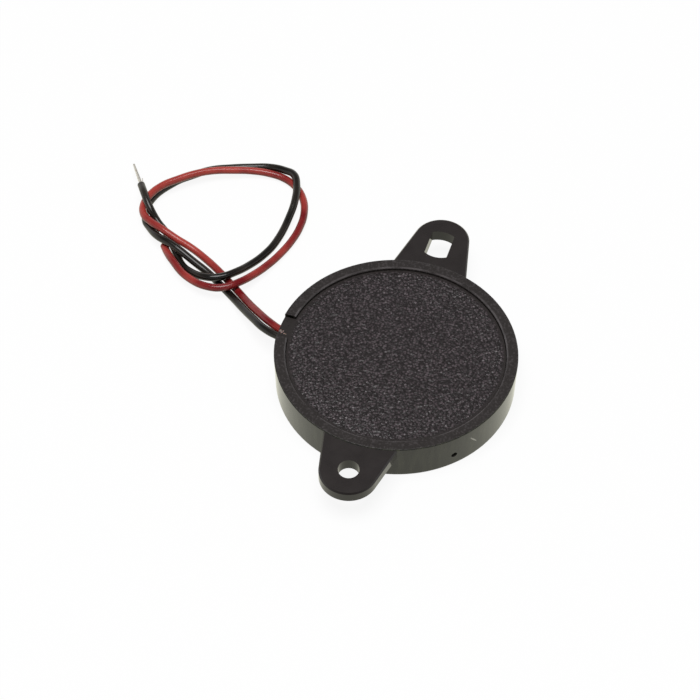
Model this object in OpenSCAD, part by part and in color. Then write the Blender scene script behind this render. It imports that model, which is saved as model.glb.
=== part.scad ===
// Piezo buzzer in a round moulded case with two screw ears and two free lead wires.
// The case lies on its front face, with the textured back cover upwards. X runs along the ears,
// and the leads leave on the +Y side. The origin is the middle of the front face. Millimetres.

/* [Body] */
// Outside diameter of the body at its back rim
body_d = 42; // [40:0.5:45]
// Height of the body
body_h = 7.2; // [7:0.1:9]
// Draft angle of the outside wall
draft = 1.2; // [0.5:0.1:2]
// Thickness of the front wall
front_t = 1.5; // [1:0.1:1.6]
// Rounding of the front edge
front_round = 0.2; // [0.1:0.05:0.8]
// Diameter of the sound hole in the front wall
sound_d = 5; // [3:0.5:8]
// Edge break of the sound hole
sound_break = 0.4; // [0.2:0.1:0.8]

/* [Back rim] */
// Width of the rim round the back cover
rim_w = 2; // [1.6:0.1:2.2]
// Depth of the back cover below the rim
cover_recess = 0.5; // [0.3:0.1:0.7]
// Rounding of the rim's outer edge
rim_round = 0.2; // [0.1:0.05:0.4]
// Edge break of the rim's inner edge
rim_break = 0.2; // [0.1:0.05:0.3]
// Width of the notch that the leads leave through
notch_w = 5; // [4.2:0.1:7]
// Offset of the notch from the middle, along the ears
notch_x = -0.5; // [-1:0.1:1]

/* [Ears] */
// Distance between the middles of the two screw holes
hole_pitch = 52; // [51:0.5:60]
// Diameter of the round screw hole
hole_d = 3.6; // [3:0.1:4]
// Length of the slotted screw hole
slot_l = 6.2; // [5:0.1:6.6]
// Width of the slotted screw hole
slot_w = 4.1; // [4.1:0.1:4.6]
// Radius of the slot's bowed ends
slot_end_r = 4; // [3.5:0.1:6]
// Plastic left beyond the end of each hole
ear_land = 3.2; // [2.4:0.1:4]
// Thickness of the ears
ear_t = 2.2; // [1.5:0.1:2.6]
// Step from the rim down to the ears
ear_step = 0.2; // [0.1:0.1:0.5]
// Angle by which each side of an ear flares towards the body
ear_flare = 12.5; // [8:0.5:18]
// Edge break of the ears
ear_break = 0.25; // [0.1:0.05:0.4]

/* [Back cover] */
// Thickness of the back cover
cover_t = 1.2; // [1:0.05:1.3]
// Edge break of the cover's outer edge
cover_break = 0.2; // [0.1:0.05:0.3]
// Gap round the cover and its tab
cover_gap = 0.15; // [0.1:0.05:0.25]
// Setback of the tab from the outside of the body
tab_setback = 0.2; // [0.1:0.05:0.4]
// Width of the seat under the cover's edge
seat_w = 1.3; // [1:0.1:2]

/* [Sounder] */
// Thickness of the brass diaphragm
plate_t = 0.2; // [0.15:0.05:0.3]
// Gap round the diaphragm
plate_gap = 0.2; // [0.1:0.05:0.3]
// Width of the ledge under the diaphragm
ledge_w = 1.5; // [1:0.1:2]
// Width of the bare brass round the ceramic disc
brass_w = 5; // [4.5:0.1:6]
// Thickness of the ceramic disc
ceramic_t = 0.2; // [0.15:0.05:0.3]
// Width of the silicone bead on the diaphragm's edge
bead_w = 0.9; // [0.6:0.1:1.2]
// Height of the silicone bead
bead_h = 0.5; // [0.3:0.05:0.5]

/* [Leads] */
// Outside diameter of the insulation
lead_d = 1.4; // [1.1:0.05:1.45]
// Diameter of the tinned conductor
core_d = 0.5; // [0.4:0.05:0.6]
// Gap between the two leads, and between a lead and its channel
lead_gap = 0.1; // [0.05:0.05:0.2]
// Length of bare conductor at the inner ends
strip_l = 2; // [1.5:0.1:2.2]
// Length of the tinned tips
tip_l = 6.5; // [4:0.5:7]
// Diameter of a tinned tip where it leaves the insulation
tip_d = 0.7; // [0.6:0.05:0.9]
// Diameter of a tinned tip at its end
tip_end_d = 0.4; // [0.3:0.05:0.5]
// Distance of the red lead's solder joint from the edge of the ceramic disc
red_inset = 4.5; // [3:0.5:6]
// Gap between the black lead's solder joint and the ceramic disc
joint_gap = 0.7; // [0.3:0.1:0.9]
// Diameter of a solder joint
joint_d = 2; // [1.6:0.1:2]
// Height of a solder joint
joint_h = 0.8; // [0.6:0.05:0.8]

/* [Moulding marks] */
// Direction of the gate mark on the outside wall
gate_angle = -134.5; // [-180:0.5:180]
// Height of the gate mark
gate_z = 2.6; // [1.5:0.1:3.2]
// Diameter of the gate mark
gate_d = 1.1; // [0.6:0.1:1.6]
// Depth of the gate mark
gate_depth = 0.4; // [0.2:0.1:0.8]

/* [Hidden] */
$fn = 96;
lead_sides = 8;
past = 1;
body_r = body_d / 2;
front_r = body_r - body_h * tan(draft);
rim_r = body_r - rim_w;
cover_top = body_h - cover_recess;
seat_z = cover_top - cover_t;
cover_r = rim_r - cover_gap;
tab_w = notch_w - 2 * cover_gap;
tab_r = body_r - tab_setback;
ear_top = body_h - ear_step;
ear_z = ear_top - ear_t;
hole_x = hole_pitch / 2;
tip_r = hole_d / 2 + ear_land;
slot_reach = slot_l / 2 - hole_d / 2;
lead_r = lead_d / 2;
lead_z = seat_z - lead_gap / 2 - lead_r;
red_x = notch_x + (lead_d + lead_gap) / 2;
black_x = notch_x - (lead_d + lead_gap) / 2;
channel_w = 2 * lead_d + 3 * lead_gap;
channel_z = lead_z - lead_r - lead_gap / 2;
chamber_r = rim_r - seat_w;
plate_r = chamber_r - plate_gap;
plate_top = channel_z - bead_h;
ledge_z = plate_top - plate_t;
ledge_r = chamber_r - ledge_w;
ceramic_r = plate_r - brass_w;
ceramic_top = plate_top + ceramic_t;
red_joint_y = ceramic_r - red_inset;
black_joint_y = ceramic_r + joint_gap + joint_d / 2;

// Each lead runs straight out of its channel, sinks to the surface that the buzzer lies on, turns
// once round in a loose loop and passes over and under its first stretch.
red_route = [
    [red_x, red_joint_y + strip_l, lead_z], [red_x, rim_r, lead_z], [red_x, body_r, lead_z],
    [1.4, 23.5, 4.5], [3.8, 26.6, 3.35], [6.5, 29.6, 1.95], [8.9, 32.2, 1], [10.9, 34.8, 0.7],
    [13.1, 38, 0.7], [15, 41.3, 0.75], [16.2, 44.2, 1.1], [16.7, 47.3, 2.05], [17.5, 50.1, 2.65],
    [18.7, 53, 2.6], [20.4, 55.1, 2.25], [22.8, 56, 2.1], [25.1, 55.8, 2.15], [28, 54.5, 2.2],
    [30.6, 52.2, 2.2], [33, 49.5, 2.2], [34.8, 46.8, 2.05], [36.4, 43.4, 1.7], [37.7, 40.2, 1.3],
    [38.4, 36.9, 0.95], [38.2, 33.8, 0.75], [36.7, 30.9, 0.7], [34.3, 28.8, 0.7], [31.1, 27.5, 0.7],
    [27.6, 27.1, 0.7], [24, 27.4, 0.7], [20.2, 28.3, 0.8], [16.7, 29.5, 1.05], [13.2, 31, 1.6],
    [10.2, 32.6, 2.3], [8.3, 34.5, 2.4], [7.5, 37, 2.3], [8.8, 42, 1.8], [12.1, 46.3, 1.45],
    [13.8, 47.9, 1], [15.4, 49.2, 0.82]
];
black_route = [
    [black_x, black_joint_y + strip_l, lead_z], [black_x, rim_r, lead_z], [black_x, body_r, lead_z],
    [-0.2, 23.9, 4.4], [2.4, 27.2, 3.2], [5.1, 30.2, 1.85], [7.5, 32.9, 0.95], [9.7, 36, 0.7],
    [11.7, 39.2, 0.8], [12.8, 42, 1.35], [14.9, 47.6, 2.45], [16.1, 50.5, 2.05], [18.6, 53.3, 0.95],
    [20.3, 54.8, 0.75], [24.8, 55.7, 0.7], [30.9, 53.1, 0.7], [33.6, 50.6, 0.7], [36, 47.9, 0.7],
    [37.8, 44.2, 0.7], [39.1, 40.7, 0.75], [39.9, 37.2, 1.05], [39.5, 34.2, 1.6], [38.5, 32, 2.1],
    [36.2, 30.7, 2.15], [32.8, 29.8, 2], [29.3, 29.6, 1.35], [22.6, 30.1, 0.7], [19, 31.1, 0.75],
    [15.6, 32.5, 1.25], [12.5, 34.1, 2.05], [10.4, 36.2, 2.25], [9.7, 38.5, 2.1], [11, 42.7, 0.95],
    [12.4, 44.7, 0.7], [14.2, 46.2, 0.7], [18.7, 50.2, 0.8], [20, 52.2, 1.45], [21.8, 54.5, 3.2],
    [23.9, 56.2, 3.75], [26.2, 57.8, 3.3]
];

function unit(v) = v / norm(v);
function heading(route, i) =
    unit(route[min(i + 1, len(route) - 1)] - route[max(i - 1, 0)]);
function ring(route, i, r) =
    let (ahead = heading(route, i), side = unit(cross(ahead, [0, 0, 1])), up = cross(side, ahead))
    [for (k = [0:lead_sides - 1])
        let (a = (k + 0.5) * 360 / lead_sides) route[i] + r * (cos(a) * side + sin(a) * up)];

// Round wire of radius r along the points of a route
module wire(route, r) {
    last = len(route) - 1;
    skin = [for (i = [0:last - 1], k = [0:lead_sides - 1])
        let (n = (k + 1) % lead_sides, a = i * lead_sides, b = a + lead_sides)
        each [[a + k, b + k, b + n], [a + k, b + n, a + n]]];
    first_cap = [for (k = [0:lead_sides - 1]) k];
    last_cap = [for (k = [lead_sides - 1:-1:0]) last * lead_sides + k];
    polyhedron([for (i = [0:last]) each ring(route, i, r)], concat(skin, [first_cap], [last_cap]));
}

// What a rounding of radius r takes off an outer corner at the origin
module corner_cut(r) {
    difference() {
        translate([-r, -r]) square(r + past);
        translate([-r, -r]) circle(r);
    }
}

// Disc with a broken edge at its top
module broken_disc(r, h, edge) {
    rotate_extrude() polygon([[0, 0], [r, 0], [r, h - edge], [r - edge, h], [0, h]]);
}

// Outside of the body, drafted towards the front
module body_outside() {
    rotate_extrude() difference() {
        polygon([[0, 0], [front_r, 0], [body_r, body_h], [0, body_h]]);
        translate([front_r, 0]) mirror([0, 1]) corner_cut(front_round);
        translate([body_r, body_h]) corner_cut(rim_round);
    }
}

// Sound hole, air space, sounder chamber and cover seat, as one stepped hollow
module body_inside() {
    sound_r = sound_d / 2;
    rotate_extrude() polygon([
        [0, -past], [sound_r + sound_break, -past], [sound_r + sound_break, 0], [sound_r, sound_break],
        [sound_r, front_t], [ledge_r, front_t], [ledge_r, ledge_z], [chamber_r, ledge_z],
        [chamber_r, seat_z], [rim_r, seat_z], [rim_r, body_h - rim_break], [rim_r + rim_break, body_h],
        [rim_r + rim_break, body_h + past], [0, body_h + past]
    ]);
}

// Section of an ear's side bar, with both outer edges broken
module bar_section(reach) {
    polygon([[-reach, 0], [tip_r - ear_break, 0], [tip_r, ear_break], [tip_r, ear_t - ear_break],
        [tip_r - ear_break, ear_t], [-reach, ear_t]]);
}

// Half of an ear, whose outer face is tangent to the round tip centred at tip_x
module ear_side(tip_x) {
    bar_l = tip_x + tip_r;
    intersection() {
        translate([tip_x, 0, 0]) rotate([0, 0, -ear_flare]) rotate([90, 0, -90]) linear_extrude(bar_l)
            mirror([1, 0]) bar_section(bar_l);
        cube([bar_l, bar_l, ear_t]);
    }
}

// Ear along +X with a round tip and sides that flare towards the body
module ear(tip_x) {
    translate([0, 0, ear_z]) {
        translate([tip_x, 0, 0]) rotate_extrude() polygon([[0, 0], [tip_r - ear_break, 0], [tip_r, ear_break],
            [tip_r, ear_t - ear_break], [tip_r - ear_break, ear_t], [0, ear_t]]);
        ear_side(tip_x);
        mirror([0, 1, 0]) ear_side(tip_x);
    }
}

// Slot with straight sides and slightly bowed ends
module slot_cut() {
    translate([hole_x, 0, ear_z - past]) linear_extrude(ear_t + 2 * past) intersection() {
        square([slot_l, slot_w], center = true);
        translate([slot_l / 2 - slot_end_r, 0]) circle(slot_end_r);
        translate([slot_end_r - slot_l / 2, 0]) circle(slot_end_r);
    }
}

// Notch in the rim for the cover's tab
module notch_cut() {
    translate([notch_x - notch_w / 2, rim_r - past, seat_z]) cube([notch_w, rim_w + 2 * past, body_h]);
}

// Channel through the wall for the two leads, side by side under the tab
module channel(from_y, to_y) {
    translate([notch_x - channel_w / 2, from_y, channel_z])
        cube([channel_w, to_y - from_y, seat_z - channel_z]);
}

// One moulding: cup, back rim and both ears
module case() {
    color("#2b2829") difference() {
        union() {
            body_outside();
            ear(hole_x + slot_reach);
            mirror([1, 0, 0]) ear(hole_x);
        }
        body_inside();
        slot_cut();
        translate([-hole_x, 0, ear_z - past]) cylinder(d = hole_d, h = ear_t + 2 * past);
        notch_cut();
        channel(chamber_r - past, body_r + past);
        rotate([0, 0, gate_angle]) translate([body_r - gate_depth, 0, gate_z]) rotate([0, 90, 0])
            cylinder(d = gate_d, h = gate_depth + past);
    }
}

// Textured disc let into the rim, with a tab that closes the notch over the leads
module back_cover() {
    color("#3c3839") translate([0, 0, seat_z]) {
        broken_disc(cover_r, cover_t, cover_break);
        intersection() {
            translate([notch_x - tab_w / 2, 0, 0]) cube([tab_w, body_r, cover_t]);
            broken_disc(tab_r, cover_t, cover_break);
        }
    }
}

// Brass disc that carries the ceramic and lies on the ledge
module diaphragm_plate() {
    color("#c9a24a") translate([0, 0, ledge_z]) cylinder(r = plate_r, h = plate_t);
}

// Silvered piezo ceramic bonded to the middle of the brass
module ceramic_disc() {
    color("#d8d8d2") translate([0, 0, plate_top]) cylinder(r = ceramic_r, h = ceramic_t);
}

// Silicone that bonds the edge of the brass to the case
module silicone_bead() {
    color("#e8e8e4") rotate_extrude() polygon([[plate_r - bead_w, plate_top], [chamber_r, plate_top],
        [chamber_r, channel_z]]);
}

// Bare conductor from the insulation's inner end, bent down into its joint on a surface at height z
module core(x, joint_y, z) {
    bend_r = lead_z - z - joint_h / 2;
    translate([x, joint_y + bend_r, lead_z]) {
        rotate([-90, 0, 0]) cylinder(d = core_d, h = strip_l - bend_r, $fn = 24);
        translate([0, 0, -bend_r]) rotate([90, 0, -90]) rotate_extrude(angle = 90)
            translate([bend_r, 0]) circle(d = core_d, $fn = 24);
    }
}

// Domed solder joint on a surface at height z, round the end of its conductor
module solder_joint(x, y, z) {
    dome_r = (pow(joint_d / 2, 2) + pow(joint_h, 2)) / (2 * joint_h);
    difference() {
        translate([x, y, z]) rotate_extrude() intersection() {
            translate([0, joint_h - dome_r]) circle(dome_r);
            square([joint_d, joint_h]);
        }
        core(x, y, z);
    }
}

module red_joint() {
    color("silver") solder_joint(red_x, red_joint_y, ceramic_top);
}

module black_joint() {
    color("silver") solder_joint(black_x, black_joint_y, plate_top);
}

module red_core() {
    color("silver") core(red_x, red_joint_y, ceramic_top);
}

module black_core() {
    color("silver") core(black_x, black_joint_y, plate_top);
}

module red_lead() {
    color("#a52d2d") wire(red_route, lead_r);
}

module black_lead() {
    color("#282623") wire(black_route, lead_r);
}

// Tinned end of a lead, in line with the lead's last stretch
module tinned_tip(route) {
    last = len(route) - 1;
    ahead = heading(route, last);
    translate(route[last]) rotate([0, acos(ahead[2]), atan2(ahead[1], ahead[0])])
        cylinder(d1 = tip_d, d2 = tip_end_d, h = tip_l, $fn = 24);
}

module red_tip() {
    color("silver") tinned_tip(red_route);
}

module black_tip() {
    color("silver") tinned_tip(black_route);
}

// Clear glue that fills the channel round the leads
module lead_sealant() {
    color("#cfc4bd") difference() {
        channel(chamber_r, tab_r);
        for (x = [red_x, black_x]) translate([x, 0, lead_z]) rotate([-90, 0, 0])
            cylinder(d = lead_d, h = body_r + past);
        translate([0, 0, channel_z]) cylinder(r = chamber_r, h = body_h);
    }
}

case();
back_cover();
diaphragm_plate();
ceramic_disc();
silicone_bead();
red_joint();
black_joint();
red_core();
black_core();
red_lead();
black_lead();
red_tip();
black_tip();
lead_sealant();
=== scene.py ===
import math

import bpy
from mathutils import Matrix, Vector


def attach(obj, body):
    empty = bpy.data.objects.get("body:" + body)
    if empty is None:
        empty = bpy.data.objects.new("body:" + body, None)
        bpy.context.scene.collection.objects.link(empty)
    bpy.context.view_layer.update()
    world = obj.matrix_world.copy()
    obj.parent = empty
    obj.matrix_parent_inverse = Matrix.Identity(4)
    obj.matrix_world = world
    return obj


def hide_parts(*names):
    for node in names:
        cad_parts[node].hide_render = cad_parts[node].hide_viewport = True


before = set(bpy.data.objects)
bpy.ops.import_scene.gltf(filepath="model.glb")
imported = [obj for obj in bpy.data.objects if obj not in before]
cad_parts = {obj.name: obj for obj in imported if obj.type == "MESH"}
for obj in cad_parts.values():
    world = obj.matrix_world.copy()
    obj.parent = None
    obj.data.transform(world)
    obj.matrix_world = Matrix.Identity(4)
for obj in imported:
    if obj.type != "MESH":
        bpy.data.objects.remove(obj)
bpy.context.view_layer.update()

# Case
# The cup, its back rim and both screw ears are one injection moulding in black ABS. The tool is
# polished round the wall, matt on the ears and lightly spark eroded on the rim.
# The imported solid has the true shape, so it stays and only gets its finish here.
mm = 0.001
body_r = 21 * mm
body_h = 7.2 * mm
rim_r = 19 * mm
# Each blend goes from where a zone of the case's finish starts to where it is full.
body_blend = (body_r + 0.15 * mm, body_r - 0.05 * mm)
inside_blend = (rim_r + 0.6 * mm, rim_r + 0.4 * mm)
inner_blend = (rim_r + 0.35 * mm, rim_r + 0.2 * mm)
outer_blend = (body_r - 0.25 * mm, body_r - 0.05 * mm)
upper_blend = (body_h - 0.18 * mm, body_h - 0.1 * mm)
scratch_place = Vector((-11.74, -17.41, 4.2)) * mm
scratch_turn = (0, math.radians(54.3), math.radians(-34))
scratch_size = Vector((1.6, 0.6, 0.15)) * mm
dull = 0.9


def linear(hex_colour):
    """Linear RGBA of an sRGB colour written as six hex digits."""
    channels = [int(hex_colour[i:i + 2], 16) / 255 for i in (0, 2, 4)]
    return [c / 12.92 if c <= 0.04045 else ((c + 0.055) / 1.055) ** 2.4 for c in channels] + [1.0]


def add_node(tree, kind, inputs={}, **settings):
    """Adds a node with its settings, and fills its inputs with values or links."""
    made = tree.nodes.new("ShaderNode" + kind)
    for name, value in settings.items():
        setattr(made, name, value)
    for name, value in inputs.items():
        if isinstance(value, bpy.types.NodeSocket):
            tree.links.new(value, made.inputs[name])
        else:
            made.inputs[name].default_value = value
    return made


def new_finish(name):
    """An empty material of that name, its node tree and its output node."""
    finish = bpy.data.materials.new(name)
    finish.use_nodes = True
    finish.node_tree.nodes.clear()
    return finish, finish.node_tree, finish.node_tree.nodes.new("ShaderNodeOutputMaterial")


def dress(node_name, finish):
    """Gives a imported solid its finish."""
    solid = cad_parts[node_name]
    solid.data.materials.clear()
    solid.data.materials.append(finish)


# Black ABS straight from the tool: brownish and satin on the flat faces, with a faint grain on the
# rim whose pale flecks are partly painted glints, and greenish and glossy with upright draw marks
# on the wall, where it mirrors the table. The ears' sides are glossy and brownish. The rim's outer
# edge is dull, and its inner edge is paler in patches, partly rubbed and partly a painted
# highlight. One pale scratch is on the wall, and its near-white paleness is partly a painted
# highlight on the nick.
case_finish, tree, output = new_finish("moulded_black_abs")
coords = add_node(tree, "TexCoord")
place = coords.outputs["Object"]
facing = add_node(tree, "SeparateXYZ", {"Vector": coords.outputs["Normal"]})
level = add_node(tree, "Math", {0: facing.outputs["Z"]}, operation="ABSOLUTE")
flat = add_node(tree, "MapRange", {"Value": level.outputs[0], "From Min": 0.6, "From Max": 0.95})
in_plan = add_node(tree, "VectorMath", {0: place, 1: (1, 1, 0)}, operation="MULTIPLY")
reach = add_node(tree, "VectorMath", {0: in_plan.outputs[0]}, operation="LENGTH")
body = add_node(tree, "MapRange", {"Value": reach.outputs["Value"], "From Min": body_blend[0],
                                   "From Max": body_blend[1]})
inside = add_node(tree, "MapRange", {"Value": reach.outputs["Value"], "From Min": inside_blend[0],
                                     "From Max": inside_blend[1]})
matt = add_node(tree, "Math", {0: flat.outputs[0], 1: inside.outputs[0]}, operation="MAXIMUM")
rim_top = add_node(tree, "Math", {0: body.outputs[0], 1: matt.outputs[0]}, operation="MULTIPLY")
mottle = add_node(tree, "TexNoise", {"Vector": place, "Scale": 1 / (3 * mm), "Detail": 4.0})
skin = add_node(tree, "ValToRGB", {"Fac": mottle.outputs["Fac"]})
skin.color_ramp.elements[0].color = linear("242020")
skin.color_ramp.elements[1].color = linear("302b2a")
# Pale flecks in the rim's grain: partly its own tone, partly painted glints.
grain = add_node(tree, "TexNoise", {"Vector": place, "Scale": 1 / (0.35 * mm), "Detail": 2.0})
flecks_and_glints = add_node(tree, "ValToRGB", {"Fac": grain.outputs["Fac"]})
flecks_and_glints.color_ramp.elements[0].position = 0.5
flecks_and_glints.color_ramp.elements[0].color = linear("2d2928")
flecks_and_glints.color_ramp.elements[1].position = 0.8
flecks_and_glints.color_ramp.elements[1].color = linear("4e494a")
tops = add_node(tree, "Mix", {0: rim_top.outputs[0], 6: skin.outputs["Color"],
                              7: flecks_and_glints.outputs["Color"]}, data_type="RGBA")
upright = add_node(tree, "Mapping", {"Vector": place, "Scale": (1, 1, 0.15)})
draw_marks = add_node(tree, "TexNoise", {"Vector": upright.outputs[0], "Scale": 1 / (0.9 * mm),
                                         "Detail": 4.0})
smears = add_node(tree, "ValToRGB", {"Fac": draw_marks.outputs["Fac"]})
smears.color_ramp.elements[0].position = 0.42
smears.color_ramp.elements[0].color = linear("0c0d07")
smears.color_ramp.elements[1].position = 0.72
smears.color_ramp.elements[1].color = linear("3a3b2f")
# A pale scratch on the wall: partly the scratch's own pale colour, partly a painted highlight on
# the nick.
across_scratch = add_node(tree, "Mapping", {
    "Vector": place, "Location": scratch_place, "Rotation": scratch_turn, "Scale": scratch_size},
    vector_type="TEXTURE")
from_scratch = add_node(tree, "VectorMath", {0: across_scratch.outputs[0]}, operation="LENGTH")
scratch_and_highlight = add_node(tree, "MapRange", {"Value": from_scratch.outputs["Value"], "From Min": 1.0,
                                      "From Max": 0.4})
flank = add_node(tree, "Mix", {0: body.outputs[0], 6: linear("191312"), 7: smears.outputs["Color"]},
                 data_type="RGBA")
wall = add_node(tree, "Mix", {0: scratch_and_highlight.outputs[0], 6: flank.outputs[2], 7: linear("e0e0d8")},
                data_type="RGBA")
clean = add_node(tree, "Mix", {0: matt.outputs[0], 6: wall.outputs[2], 7: tops.outputs[2]},
                 data_type="RGBA")
height = add_node(tree, "SeparateXYZ", {"Vector": place})
upper = add_node(tree, "MapRange", {"Value": height.outputs["Z"], "From Min": upper_blend[0],
                                    "From Max": upper_blend[1]})
inner = add_node(tree, "MapRange", {"Value": reach.outputs["Value"], "From Min": inner_blend[0],
                                    "From Max": inner_blend[1]})
outer = add_node(tree, "MapRange", {"Value": reach.outputs["Value"], "From Min": outer_blend[0],
                                    "From Max": outer_blend[1]})
inner_edge = add_node(tree, "Math", {0: inner.outputs[0], 1: upper.outputs[0]},
                      operation="MULTIPLY")
outer_edge = add_node(tree, "Math", {0: outer.outputs[0], 1: upper.outputs[0]},
                      operation="MULTIPLY")
# Paler patches along the rim's inner edge: partly rubbing, partly a painted highlight along the
# edge.
rubbed = add_node(tree, "MapRange", {"Value": mottle.outputs["Fac"], "From Min": 0.35,
                                     "From Max": 0.6})
rubbed_and_highlit_edge = add_node(tree, "Math", {0: inner_edge.outputs[0], 1: rubbed.outputs[0]},
                operation="MULTIPLY")
colour = add_node(tree, "Mix", {0: rubbed_and_highlit_edge.outputs[0], 6: clean.outputs[2], 7: linear("575253")},
                  data_type="RGBA")
polish = add_node(tree, "MapRange", {"Value": draw_marks.outputs["Fac"], "From Min": 0.3,
                                     "From Max": 0.7, "To Min": 0.03, "To Max": 0.1})
satin = add_node(tree, "MapRange", {"Value": mottle.outputs["Fac"], "To Min": 0.22, "To Max": 0.34})
new_skin = add_node(tree, "Mix", {"Factor": matt.outputs[0], "A": polish.outputs[0],
                                  "B": satin.outputs[0]})
roughness = add_node(tree, "Mix", {"Factor": outer_edge.outputs[0], "A": new_skin.outputs[0],
                                   "B": dull})
grain_depth = add_node(tree, "MapRange", {"Value": rim_top.outputs[0], "To Min": 0.06,
                                          "To Max": 0.35})
relief = add_node(tree, "Bump", {"Height": grain.outputs["Fac"], "Strength": grain_depth.outputs[0],
                                 "Distance": 0.08 * mm})
shader = add_node(tree, "BsdfPrincipled", {
    "Base Color": colour.outputs[2], "IOR": 1.45, "Roughness": roughness.outputs[0],
    "Normal": relief.outputs["Normal"]})
tree.links.new(shader.outputs["BSDF"], output.inputs["Surface"])
dress("case", case_finish)

# Sounder
# A rolled brass disc carries a piezo ceramic with a fired silver electrode, and its edge is bonded
# to the ledge in the cup with a bead of white silicone. The brass shows through the sound hole.
# Rolled brass: a warm, bright sheet with fine lines along the way it was rolled.
brass, tree, output = new_finish("rolled_brass")
place = add_node(tree, "TexCoord").outputs["Object"]
along = add_node(tree, "Mapping", {"Vector": place, "Scale": (0.04, 1, 1)})
roll_lines = add_node(tree, "TexNoise", {"Vector": along.outputs[0], "Scale": 1 / (0.25 * mm),
                                         "Detail": 4.0})
tarnish = add_node(tree, "TexNoise", {"Vector": place, "Scale": 1 / (5 * mm), "Detail": 4.0})
colour = add_node(tree, "ValToRGB", {"Fac": tarnish.outputs["Fac"]})
colour.color_ramp.elements[0].color = linear("b98d42")
colour.color_ramp.elements[1].color = linear("dcb766")
roughness = add_node(tree, "MapRange", {"Value": roll_lines.outputs["Fac"], "To Min": 0.2,
                                        "To Max": 0.42})
relief = add_node(tree, "Bump", {"Height": roll_lines.outputs["Fac"], "Strength": 0.2,
                                 "Distance": 0.02 * mm})
shader = add_node(tree, "BsdfPrincipled", {
    "Base Color": colour.outputs["Color"], "Metallic": 1.0, "Roughness": roughness.outputs[0],
    "Normal": relief.outputs["Normal"]})
tree.links.new(shader.outputs["BSDF"], output.inputs["Surface"])
dress("diaphragm_plate", brass)

# Fired silver paste: a matt, chalky metal with the weave of the printing screen in it.
silver, tree, output = new_finish("fired_silver_electrode")
place = add_node(tree, "TexCoord").outputs["Object"]
screen = add_node(tree, "TexNoise", {"Vector": place, "Scale": 1 / (0.2 * mm), "Detail": 3.0})
colour = add_node(tree, "ValToRGB", {"Fac": screen.outputs["Fac"]})
colour.color_ramp.elements[0].color = linear("bdbcb4")
colour.color_ramp.elements[1].color = linear("dcdbd3")
roughness = add_node(tree, "MapRange", {"Value": screen.outputs["Fac"], "To Min": 0.45,
                                        "To Max": 0.65})
relief = add_node(tree, "Bump", {"Height": screen.outputs["Fac"], "Strength": 0.3,
                                 "Distance": 0.02 * mm})
shader = add_node(tree, "BsdfPrincipled", {
    "Base Color": colour.outputs["Color"], "Metallic": 0.7, "Roughness": roughness.outputs[0],
    "Normal": relief.outputs["Normal"]})
tree.links.new(shader.outputs["BSDF"], output.inputs["Surface"])
dress("ceramic_disc", silver)

# White silicone: a soft, slightly see-through rubber with a smooth skin and small waves.
silicone, tree, output = new_finish("cured_white_silicone")
place = add_node(tree, "TexCoord").outputs["Object"]
waves = add_node(tree, "TexNoise", {"Vector": place, "Scale": 1 / (0.9 * mm), "Detail": 2.0})
colour = add_node(tree, "ValToRGB", {"Fac": waves.outputs["Fac"]})
colour.color_ramp.elements[0].color = linear("dcdcd6")
colour.color_ramp.elements[1].color = linear("ebebe6")
relief = add_node(tree, "Bump", {"Height": waves.outputs["Fac"], "Strength": 0.3,
                                 "Distance": 0.1 * mm})
shader = add_node(tree, "BsdfPrincipled", {
    "Base Color": colour.outputs["Color"], "Roughness": 0.38, "IOR": 1.41,
    "Subsurface Weight": 0.15, "Subsurface Scale": 0.3 * mm, "Normal": relief.outputs["Normal"]})
tree.links.new(shader.outputs["BSDF"], output.inputs["Surface"])
dress("silicone_bead", silicone)

# Solder joints and inner cores
# The red core is soldered to the ceramic's electrode and the black one to the bare brass.
# Each joint is one drop of solder that the bent, tinned core goes down into.
# Bright solder: frozen tin with a mirror skin that has dulled in patches.
solder, tree, output = new_finish("bright_solder")
place = add_node(tree, "TexCoord").outputs["Object"]
frost = add_node(tree, "TexNoise", {"Vector": place, "Scale": 1 / (0.5 * mm), "Detail": 4.0})
colour = add_node(tree, "ValToRGB", {"Fac": frost.outputs["Fac"]})
colour.color_ramp.elements[0].color = linear("b4b5b6")
colour.color_ramp.elements[1].color = linear("d6d6d4")
roughness = add_node(tree, "MapRange", {"Value": frost.outputs["Fac"], "To Min": 0.15,
                                        "To Max": 0.4})
shader = add_node(tree, "BsdfPrincipled", {
    "Base Color": colour.outputs["Color"], "Metallic": 1.0, "Roughness": roughness.outputs[0]})
tree.links.new(shader.outputs["BSDF"], output.inputs["Surface"])
dress("red_joint", solder)
dress("black_joint", solder)

# Tinned copper: a grey, silky metal, with a warm breath of copper where the tin is thin.
tinned, tree, output = new_finish("tinned_copper")
place = add_node(tree, "TexCoord").outputs["Object"]
thin_tin = add_node(tree, "TexNoise", {"Vector": place, "Scale": 1 / (0.6 * mm), "Detail": 3.0})
colour = add_node(tree, "ValToRGB", {"Fac": thin_tin.outputs["Fac"]})
colour.color_ramp.elements[0].position = 0.3
colour.color_ramp.elements[0].color = linear("e2e1dc")
colour.color_ramp.elements[1].position = 0.9
colour.color_ramp.elements[1].color = linear("d0c4b6")
roughness = add_node(tree, "MapRange", {"Value": thin_tin.outputs["Fac"], "To Min": 0.22,
                                        "To Max": 0.45})
shader = add_node(tree, "BsdfPrincipled", {
    "Base Color": colour.outputs["Color"], "Metallic": 1.0, "Roughness": roughness.outputs[0]})
tree.links.new(shader.outputs["BSDF"], output.inputs["Surface"])
dress("red_core", tinned)
dress("black_core", tinned)

# Leads
# Two limp hook-up wires with extruded PVC insulation. They leave the case side by side under the
# cover's tab, sink to the table and lie in one loose loop, each end stripped and tinned.
lead_d = 1.4 * mm
# The leads' colour gets paler from the first of these distances from the case's middle to the
# second.
paler_from = 28 * mm
palest_at = 60 * mm
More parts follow.
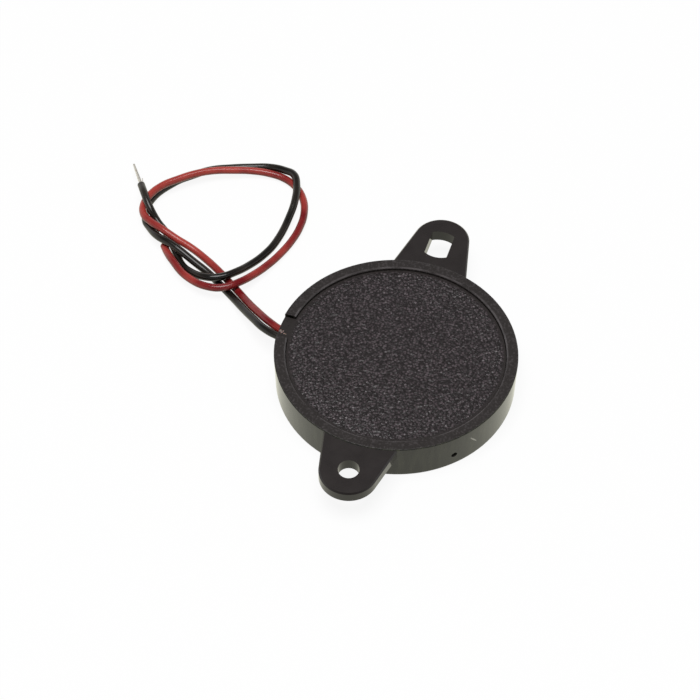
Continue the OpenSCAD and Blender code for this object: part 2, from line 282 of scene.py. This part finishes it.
# Each route's points are in millimetres, from inside the case to where the insulation was stripped.
red_x = 0.25
black_x = -1.25
lead_z = 4.75
red_route = [
    (red_x, 10, lead_z), (red_x, 19, lead_z), (red_x, 21, lead_z),
    (1.4, 23.5, 4.5), (3.8, 26.6, 3.35), (6.5, 29.6, 1.95), (8.9, 32.2, 1), (10.9, 34.8, 0.7),
    (13.1, 38, 0.7), (15, 41.3, 0.75), (16.2, 44.2, 1.1), (16.7, 47.3, 2.05), (17.5, 50.1, 2.65),
    (18.7, 53, 2.6), (20.4, 55.1, 2.25), (22.8, 56, 2.1), (25.1, 55.8, 2.15), (28, 54.5, 2.2),
    (30.6, 52.2, 2.2), (33, 49.5, 2.2), (34.8, 46.8, 2.05), (36.4, 43.4, 1.7), (37.7, 40.2, 1.3),
    (38.4, 36.9, 0.95), (38.2, 33.8, 0.75), (36.7, 30.9, 0.7), (34.3, 28.8, 0.7), (31.1, 27.5, 0.7),
    (27.6, 27.1, 0.7), (24, 27.4, 0.7), (20.2, 28.3, 0.8), (16.7, 29.5, 1.05), (13.2, 31, 1.6),
    (10.2, 32.6, 2.3), (8.3, 34.5, 2.4), (7.5, 37, 2.3), (8.8, 42, 1.8), (12.1, 46.3, 1.45),
    (13.8, 47.9, 1), (15.4, 49.2, 0.82),
]
black_route = [
    (black_x, 16.2, lead_z), (black_x, 19, lead_z), (black_x, 21, lead_z),
    (-0.2, 23.9, 4.4), (2.4, 27.2, 3.2), (5.1, 30.2, 1.85), (7.5, 32.9, 0.95), (9.7, 36, 0.7),
    (11.7, 39.2, 0.8), (12.8, 42, 1.35), (14.9, 47.6, 2.45), (16.1, 50.5, 2.05), (18.6, 53.3, 0.95),
    (20.3, 54.8, 0.75), (24.8, 55.7, 0.7), (30.9, 53.1, 0.7), (33.6, 50.6, 0.7), (36, 47.9, 0.7),
    (37.8, 44.2, 0.7), (39.1, 40.7, 0.75), (39.9, 37.2, 1.05), (39.5, 34.2, 1.6), (38.5, 32, 2.1),
    (36.2, 30.7, 2.15), (32.8, 29.8, 2), (29.3, 29.6, 1.35), (22.6, 30.1, 0.7), (19, 31.1, 0.75),
    (15.6, 32.5, 1.25), (12.5, 34.1, 2.05), (10.4, 36.2, 2.25), (9.7, 38.5, 2.1), (11, 42.7, 0.95),
    (12.4, 44.7, 0.7), (14.2, 46.2, 0.7), (18.7, 50.2, 0.8), (20, 52.2, 1.45), (21.8, 54.5, 3.2),
    (23.9, 56.2, 3.75), (26.2, 57.8, 3.3),
]


def insulation(name, route, hex_colour, pale_hex):
    """A lead along its route, with its own PVC."""
    line = bpy.data.curves.new(name, "CURVE")
    line.dimensions = "3D"
    line.resolution_u = 8
    line.bevel_depth = lead_d / 2
    line.bevel_resolution = 6
    line.use_fill_caps = True
    spline = line.splines.new("BEZIER")
    spline.bezier_points.add(len(route) - 1)
    for point, stop in zip(spline.bezier_points, route):
        point.co = Vector(stop) * mm
        point.handle_left_type = "AUTO"
        point.handle_right_type = "AUTO"
    lead = bpy.data.objects.new(name, line)
    bpy.context.scene.collection.objects.link(lead)

    # Extruded PVC: a soft gloss that breaks up over the dents and the bloom that handling leaves.
    # The bloom makes it paler, and apart from it the colour gets paler further from the case.
    finish, tree, output = new_finish(name + "_pvc")
    place = add_node(tree, "TexCoord").outputs["Object"]
    bloom = add_node(tree, "TexNoise", {"Vector": place, "Scale": 1 / (6 * mm), "Detail": 4.0})
    reach = add_node(tree, "VectorMath", {0: place}, operation="LENGTH")
    # The colour gets paler further from the case and darker near it.
    paler_further_out = add_node(tree, "MapRange", {
        "Value": reach.outputs["Value"], "From Min": paler_from, "From Max": palest_at,
        "To Min": -0.15, "To Max": 0.15})
    paler = add_node(tree, "Math", {0: bloom.outputs["Fac"], 1: paler_further_out.outputs[0]},
                     operation="ADD")
    colour = add_node(tree, "ValToRGB", {"Fac": paler.outputs[0]})
    colour.color_ramp.elements[0].position = 0.3
    colour.color_ramp.elements[0].color = linear(hex_colour)
    colour.color_ramp.elements[1].position = 0.7
    colour.color_ramp.elements[1].color = linear(pale_hex)
    gloss = add_node(tree, "MapRange", {"Value": bloom.outputs["Fac"], "From Min": 0.3,
                                        "From Max": 0.7, "To Min": 0.18, "To Max": 0.3})
    dents = add_node(tree, "TexNoise", {"Vector": place, "Scale": 1 / (0.8 * mm), "Detail": 2.0})
    relief = add_node(tree, "Bump", {"Height": dents.outputs["Fac"], "Strength": 0.15,
                                     "Distance": 0.1 * mm})
    shader = add_node(tree, "BsdfPrincipled", {
        "Base Color": colour.outputs["Color"], "IOR": 1.42, "Roughness": gloss.outputs[0],
        "Normal": relief.outputs["Normal"]})
    tree.links.new(shader.outputs["BSDF"], output.inputs["Surface"])
    line.materials.append(finish)
    return lead


red_lead = insulation("red_insulation", red_route, "751218", "b8483f")
black_lead = insulation("black_insulation", black_route, "0a0806", "2c2721")
for lead, node_name, slot_name in ((red_lead, "red_lead", "red_pvc"),
                                   (black_lead, "black_lead", "black_pvc")):
    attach(lead, "root")
    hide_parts(node_name)

# Tinned ends
# The outer ends of both conductors: seven fine copper strands, twisted together and dipped in tin
# after the insulation was stripped. On the black lead one strand was cut short and stands off.
tip_l = 6.5 * mm
tip_d = 0.7 * mm
tip_end_d = 0.4 * mm
strand_d = tip_d / 3
outer_strands = 6
root_l = 0.4 * mm
lay_turn = math.radians(18)
lay_steps = 28
stray_l = 2.2 * mm
stray_off = 0.3 * mm
stray_lean = math.radians(8)
stray_end_ratio = 0.7
stray_steps = 8
red_l = 0.137
black_l = 0.1422


def pull_strand(offset, length, end_ratio, steps):
    """A round strand along +Z that starts beside the middle, winds round it and gets thinner."""
    bpy.ops.object.select_all(action="DESELECT")
    bpy.ops.mesh.primitive_circle_add(vertices=10, radius=strand_d / 2, fill_type="NGON",
                                      location=(0, 0, 0))
    strand = bpy.context.object
    bpy.ops.object.mode_set(mode="EDIT")
    bpy.ops.transform.translate(value=(offset, 0, 0))
    rise = length / steps
    for step in range(steps):
        middle = (0, 0, (step + 1) * rise)
        thinner = (1 - (1 - end_ratio) * (step + 1) / steps) / (1 - (1 - end_ratio) * step / steps)
        bpy.ops.mesh.extrude_region_move(TRANSFORM_OT_translate={"value": (0, 0, rise)})
        bpy.ops.transform.rotate(value=lay_turn, orient_axis="Z", center_override=middle)
        bpy.ops.transform.resize(value=(thinner, thinner, 1), center_override=middle)
    bpy.ops.mesh.select_all(action="SELECT")
    bpy.ops.mesh.normals_make_consistent(inside=False)
    bpy.ops.object.mode_set(mode="OBJECT")
    return strand


def join_pieces(name, parts):
    """Joins parts into the first of them."""
    bpy.ops.object.select_all(action="DESELECT")
    for part in parts:
        part.select_set(True)
    bpy.context.view_layer.objects.active = parts[0]
    bpy.ops.object.join()
    parts[0].name = name
    return parts[0]


strands = [pull_strand(strand_d, tip_l + root_l, tip_end_d / tip_d, lay_steps)]
for place_round in range(1, outer_strands):
    twin = strands[0].copy()
    twin.data = strands[0].data.copy()
    twin.rotation_euler.z = math.tau * place_round / outer_strands
    bpy.context.scene.collection.objects.link(twin)
    strands.append(twin)
strands.append(pull_strand(0, tip_l + root_l, tip_end_d / tip_d, lay_steps))
black_end = join_pieces("black_tinned_end", strands)
red_end = black_end.copy()
red_end.data = black_end.data.copy()
red_end.name = "red_tinned_end"
bpy.context.scene.collection.objects.link(red_end)
stray = pull_strand(0, stray_l, stray_end_ratio, stray_steps)
stray.location = (-stray_off, 0, 0)
stray.rotation_euler.y = -stray_lean
black_end = join_pieces("black_tinned_end", [black_end, stray])

for end, lead, route, node_name, length in (
        (red_end, red_lead, red_route, "red_tip", red_l),
        (black_end, black_lead, black_route, "black_tip", black_l)):
    cut = Vector(route[-1]) * mm
    ahead = (cut - Vector(route[-2]) * mm).normalized()
    end.location = cut - ahead * root_l
    end.rotation_euler = ahead.to_track_quat("Z", "Y").to_euler()
    bpy.ops.object.select_all(action="DESELECT")
    end.select_set(True)
    bpy.context.view_layer.objects.active = end
    bpy.ops.object.transform_apply(location=True, rotation=True, scale=True)
    bpy.ops.object.shade_smooth_by_angle(angle=math.radians(50))
    end.data.materials.append(tinned)
    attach(end, "root")
    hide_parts(node_name)

# Lead glue
# A little clear glue, run in round the leads where they leave the case, holds them in the notch.
# It has set with a pinkish cast and a soft, uneven skin.
glue, tree, output = new_finish("set_glue")
place = add_node(tree, "TexCoord").outputs["Object"]
runs = add_node(tree, "TexNoise", {"Vector": place, "Scale": 1 / (0.5 * mm), "Detail": 3.0})
colour = add_node(tree, "ValToRGB", {"Fac": runs.outputs["Fac"]})
colour.color_ramp.elements[0].color = linear("64544f")
colour.color_ramp.elements[1].color = linear("8c7a75")
relief = add_node(tree, "Bump", {"Height": runs.outputs["Fac"], "Strength": 0.2,
                                 "Distance": 0.1 * mm})
shader = add_node(tree, "BsdfPrincipled", {
    "Base Color": colour.outputs["Color"], "Roughness": 0.5, "IOR": 1.45, "Subsurface Weight": 0.2,
    "Subsurface Scale": 0.4 * mm, "Normal": relief.outputs["Normal"]})
tree.links.new(shader.outputs["BSDF"], output.inputs["Surface"])
dress("lead_sealant", glue)

# Back cover
# A disc moulded in the same black ABS, let into the rim and glued, with a tab that closes the notch
# over the leads. Its face has the coarse, sharp grain of a spark-eroded tool, and a plain border.
cover_r = 18.95 * mm
cover_top = 6.7 * mm
cover_t = 1.2 * mm
cover_break = 0.08 * mm
face_r = cover_r - cover_break
tab_x = -0.5 * mm
tab_w = 4.7 * mm
tab_l = 1.95 * mm
tab_steps = 15
tab_margin = 0.02 * mm
hair = 0.001 * mm
skim = 0.01 * mm
face_squares = 280
grain_d = 0.46 * mm
grain_h = 0.16 * mm
plain_w = 0.15 * mm
fade_w = 0.6 * mm


def pick(piece, wanted):
    """Selects only those vertices of the piece in edit mode whose place is wanted."""
    bpy.ops.mesh.select_all(action="DESELECT")
    bpy.ops.object.mode_set(mode="OBJECT")
    for vertex in piece.data.vertices:
        vertex.select = wanted(vertex.co)
    bpy.ops.object.mode_set(mode="EDIT")


def in_tab_strip(co):
    """Whether a place is on the tab, or in line with it on the same half of the disc."""
    return abs(co.x - tab_x) < tab_w / 2 + tab_margin and co.y > 0


bpy.ops.object.select_all(action="DESELECT")
bpy.ops.mesh.primitive_circle_add(vertices=4 * face_squares, radius=face_r,
                                  location=(0, 0, cover_top), rotation=(0, 0, math.radians(45)))
cover = bpy.context.object
cover.name = "grained_cover"
bpy.ops.object.transform_apply(location=True, rotation=True, scale=True)
bpy.ops.object.mode_set(mode="EDIT")
bpy.ops.mesh.fill_grid(span=face_squares)
pick(cover, lambda co: in_tab_strip(co) and co.xy.length > face_r - hair)
for step in range(tab_steps):
    bpy.ops.mesh.extrude_region_move(TRANSFORM_OT_translate={"value": (0, tab_l / tab_steps, 0)})
bpy.ops.mesh.select_all(action="DESELECT")
bpy.ops.mesh.select_non_manifold()
bpy.ops.mesh.extrude_region_move(TRANSFORM_OT_translate={"value": (0, 0, -cover_break)})
below = cover_top - cover_break / 2
pick(cover, lambda co: co.z < below and not in_tab_strip(co))
bpy.ops.transform.resize(value=(cover_r / face_r, cover_r / face_r, 1), center_override=(0, 0, 0))
pick(cover, lambda co: (co.z < below and in_tab_strip(co)
                        and math.hypot(co.x, co.y - tab_l) > face_r - hair))
bpy.ops.transform.translate(value=(0, cover_break, 0))
pick(cover, lambda co: co.z < below)
bpy.ops.mesh.extrude_region_move(TRANSFORM_OT_translate={"value": (0, 0, cover_break - cover_t)})
bpy.ops.mesh.edge_face_add()
bpy.ops.mesh.select_all(action="SELECT")
bpy.ops.mesh.normals_make_consistent(inside=False)
bpy.ops.object.mode_set(mode="OBJECT")

grained = cover.vertex_groups.new(name="grained")
for vertex in cover.data.vertices:
    from_edge = face_r - vertex.co.xy.length
    if vertex.co.z > cover_top - skim and from_edge > plain_w:
        grained.add([vertex.index], min(1.0, (from_edge - plain_w) / fade_w), "REPLACE")
sparks = bpy.data.textures.new("spark_grain", "VORONOI")
sparks.noise_scale = grain_d
erode = cover.modifiers.new("erode", "DISPLACE")
erode.texture = sparks
erode.texture_coords = "LOCAL"
erode.direction = "Z"
erode.strength = -grain_h
erode.mid_level = 0.5
erode.vertex_group = "grained"
bpy.context.view_layer.objects.active = cover
bpy.ops.object.modifier_apply(modifier="erode")
bpy.ops.object.shade_smooth_by_angle(angle=math.radians(40))

# Spark-eroded black ABS: dull in its pits, and plain and satin along the border and on the tab. Its
# crests have small bright flecks, partly burnished crests and partly painted glints.
cover_finish, tree, output = new_finish("spark_eroded_abs")
place = add_node(tree, "TexCoord").outputs["Object"]
in_plan = add_node(tree, "VectorMath", {0: place, 1: (1, 1, 0)}, operation="MULTIPLY")
reach = add_node(tree, "VectorMath", {0: in_plan.outputs[0]}, operation="LENGTH")
eroded = add_node(tree, "MapRange", {"Value": reach.outputs["Value"], "From Min": face_r - plain_w,
                                     "From Max": face_r - plain_w - fade_w})
# Paler crests: partly burnished crests, partly painted glints.
domes = add_node(tree, "TexVoronoi", {"Vector": place, "Scale": 1 / grain_d})
crest = add_node(tree, "MapRange", {"Value": domes.outputs["Distance"], "From Min": 0.6,
                                    "From Max": 0.1})
lot = add_node(tree, "SeparateXYZ", {"Vector": domes.outputs["Color"]})
fleck_and_glint_level = add_node(tree, "MapRange", {"Value": lot.outputs["X"], "To Min": 0.2, "To Max": 1.0})
flecks_and_glints = add_node(tree, "Math", {0: crest.outputs[0], 1: fleck_and_glint_level.outputs[0]}, operation="MULTIPLY")
face = add_node(tree, "ValToRGB", {"Fac": flecks_and_glints.outputs[0]})
face.color_ramp.elements[0].color = linear("120a0b")
face.color_ramp.elements[1].position = 0.75
face.color_ramp.elements[1].color = linear("5a5054")
colour = add_node(tree, "Mix", {0: eroded.outputs[0], 6: linear("272221"),
                                7: face.outputs["Color"]}, data_type="RGBA")
roughness = add_node(tree, "MapRange", {"Value": flecks_and_glints.outputs[0], "To Min": 0.36, "To Max": 0.24})
pits = add_node(tree, "TexNoise", {"Vector": place, "Scale": 1 / (0.3 * mm), "Detail": 2.0})
pit_depth = add_node(tree, "MapRange", {"Value": eroded.outputs[0], "To Min": 0.08,
                                        "To Max": 0.65})
relief = add_node(tree, "Bump", {"Height": pits.outputs["Fac"], "Strength": pit_depth.outputs[0],
                                 "Distance": 0.1 * mm})
shader = add_node(tree, "BsdfPrincipled", {
    "Base Color": colour.outputs[2], "IOR": 1.46, "Roughness": roughness.outputs[0],
    "Normal": relief.outputs["Normal"]})
tree.links.new(shader.outputs["BSDF"], output.inputs["Surface"])
cover.data.materials.append(cover_finish)
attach(cover, "root")
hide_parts("back_cover")

# Glue beads
# Small drops of the same glue that were pressed up beside the tab when the cover was put on, and
# set on its edge. They are flat, uneven and pinkish grey.
bead_dent = 0.3
bead_flatness = 0.6
# Place on the cover and radius of each bead, in millimetres.
bead_sizes = ((-1.5, 20.5, 0.3), (-1.75, 20.2, 0.22), (-1.4, 20.0, 0.17), (-1.9, 19.7, 0.2),
              (-1.95, 19.4, 0.14))
beads = []
for x, y, bead_r in bead_sizes:
    bpy.ops.object.select_all(action="DESELECT")
    bpy.ops.mesh.primitive_ico_sphere_add(subdivisions=3, radius=bead_r * mm, location=(0, 0, 0))
    bead = bpy.context.object
    bpy.ops.object.mode_set(mode="EDIT")
    bpy.ops.transform.vertex_random(offset=bead_r * bead_dent * mm, seed=len(beads) + 1)
    bpy.ops.mesh.vertices_smooth(factor=0.5, repeat=3)
    bpy.ops.transform.resize(value=(1, 1, bead_flatness))
    bpy.ops.transform.translate(value=(x * mm, y * mm, cover_top))
    bpy.ops.object.mode_set(mode="OBJECT")
    beads.append(bead)
glue_beads = join_pieces("glue_beads", beads)
bpy.ops.object.shade_smooth_by_angle(angle=math.radians(60))
glue_beads.data.materials.append(glue)
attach(glue_beads, "root")

# Table and light
# A white table and one softbox high over it, as for a catalogue picture. The camera sees the table
# white with a faint shadow. Glossy pieces mirror it a little warm, and they mirror a white sweep
# that stands low round it.
table_w = 4.0
table_drop = 0.08 * mm
table_glow = 0.9
room_light = 0.2
sweep_blend = (0.6, 0.3)
softbox_w = 0.9
softbox_power = 19
softbox_place = Vector((-0.16, 0.04, 1.5))
bpy.ops.object.select_all(action="DESELECT")
bpy.ops.mesh.primitive_plane_add(size=table_w, location=(0, 0, -table_drop))
table = bpy.context.object
table.name = "table"
table_finish, tree, output = new_finish("white_table")
path = add_node(tree, "LightPath")
glossy = path.outputs["Is Glossy Ray"]
straight = add_node(tree, "Math", {0: path.outputs["Is Camera Ray"],
                                   1: path.outputs["Is Transmission Ray"]}, operation="MAXIMUM")
shown = add_node(tree, "Math", {0: straight.outputs[0], 1: table_glow}, operation="MULTIPLY")
mirrored = add_node(tree, "Math", {0: glossy, 1: table_glow}, operation="MULTIPLY")
seen = add_node(tree, "Math", {0: straight.outputs[0], 1: glossy}, operation="MAXIMUM")
paint = add_node(tree, "Mix", {0: seen.outputs[0], 6: linear("98968e"), 7: linear("ffffff")},
                 data_type="RGBA")
lit = add_node(tree, "BsdfDiffuse", {"Color": paint.outputs[2]})
white = add_node(tree, "Emission", {"Color": (1, 1, 1, 1), "Strength": 1.0})
warm = add_node(tree, "Emission", {"Color": linear("fdfcea"), "Strength": 1.0})
in_mirror = add_node(tree, "MixShader", {"Fac": mirrored.outputs[0], 1: lit.outputs[0],
                                         2: warm.outputs[0]})
top = add_node(tree, "MixShader", {"Fac": shown.outputs[0], 1: in_mirror.outputs[0],
                                   2: white.outputs[0]})
tree.links.new(top.outputs[0], output.inputs["Surface"])
table.data.materials.append(table_finish)

world = bpy.data.worlds.new("studio")
world.use_nodes = True
bpy.context.scene.world = world
tree = world.node_tree
tree.nodes.clear()
output = tree.nodes.new("ShaderNodeOutputWorld")
path = add_node(tree, "LightPath")
way = add_node(tree, "SeparateXYZ", {"Vector": add_node(tree, "TexCoord").outputs["Generated"]})
low = add_node(tree, "MapRange", {"Value": way.outputs["Z"], "From Min": sweep_blend[0],
                                  "From Max": sweep_blend[1]})
sweep = add_node(tree, "Math", {0: path.outputs["Is Glossy Ray"], 1: low.outputs[0]},
                 operation="MULTIPLY")
straight = add_node(tree, "Math", {0: path.outputs["Is Camera Ray"],
                                   1: path.outputs["Is Transmission Ray"]}, operation="MAXIMUM")
shown = add_node(tree, "Math", {0: straight.outputs[0], 1: sweep.outputs[0]}, operation="MAXIMUM")
room = add_node(tree, "Background", {"Color": (1, 1, 1, 1), "Strength": room_light})
white = add_node(tree, "Background", {"Color": (1, 1, 1, 1), "Strength": 1.0})
sky = add_node(tree, "MixShader", {"Fac": shown.outputs[0], 1: room.outputs[0],
                                   2: white.outputs[0]})
tree.links.new(sky.outputs[0], output.inputs["Surface"])

softbox = bpy.data.lights.new("softbox", "AREA")
softbox.shape = "SQUARE"
softbox.size = softbox_w
softbox.energy = softbox_power
lamp = bpy.data.objects.new("softbox", softbox)
lamp.location = softbox_place
lamp.rotation_euler = (-softbox_place).to_track_quat("-Z", "Y").to_euler()
bpy.context.scene.collection.objects.link(lamp)

# Camera
# It stands where the photograph was taken from, with the near ear and the gate mark towards it.
focus = Vector((3.325, 9.41, 0)) * mm
azimuth, elevation, distance = math.radians(-71.8), math.radians(51.15), 369.9 * mm
back = Vector((math.sin(azimuth) * math.cos(elevation), -math.cos(azimuth) * math.cos(elevation),
               math.sin(elevation)))
lens = bpy.data.cameras.new("camera")
lens.lens = 108
lens.sensor_width = 36
camera = bpy.data.objects.new("camera", lens)
camera.location = focus + back * distance
camera.rotation_euler = back.to_track_quat("Z", "Y").to_euler()
bpy.context.scene.collection.objects.link(camera)
bpy.context.scene.camera = camera
bpy.context.scene.view_settings.view_transform = "Standard"
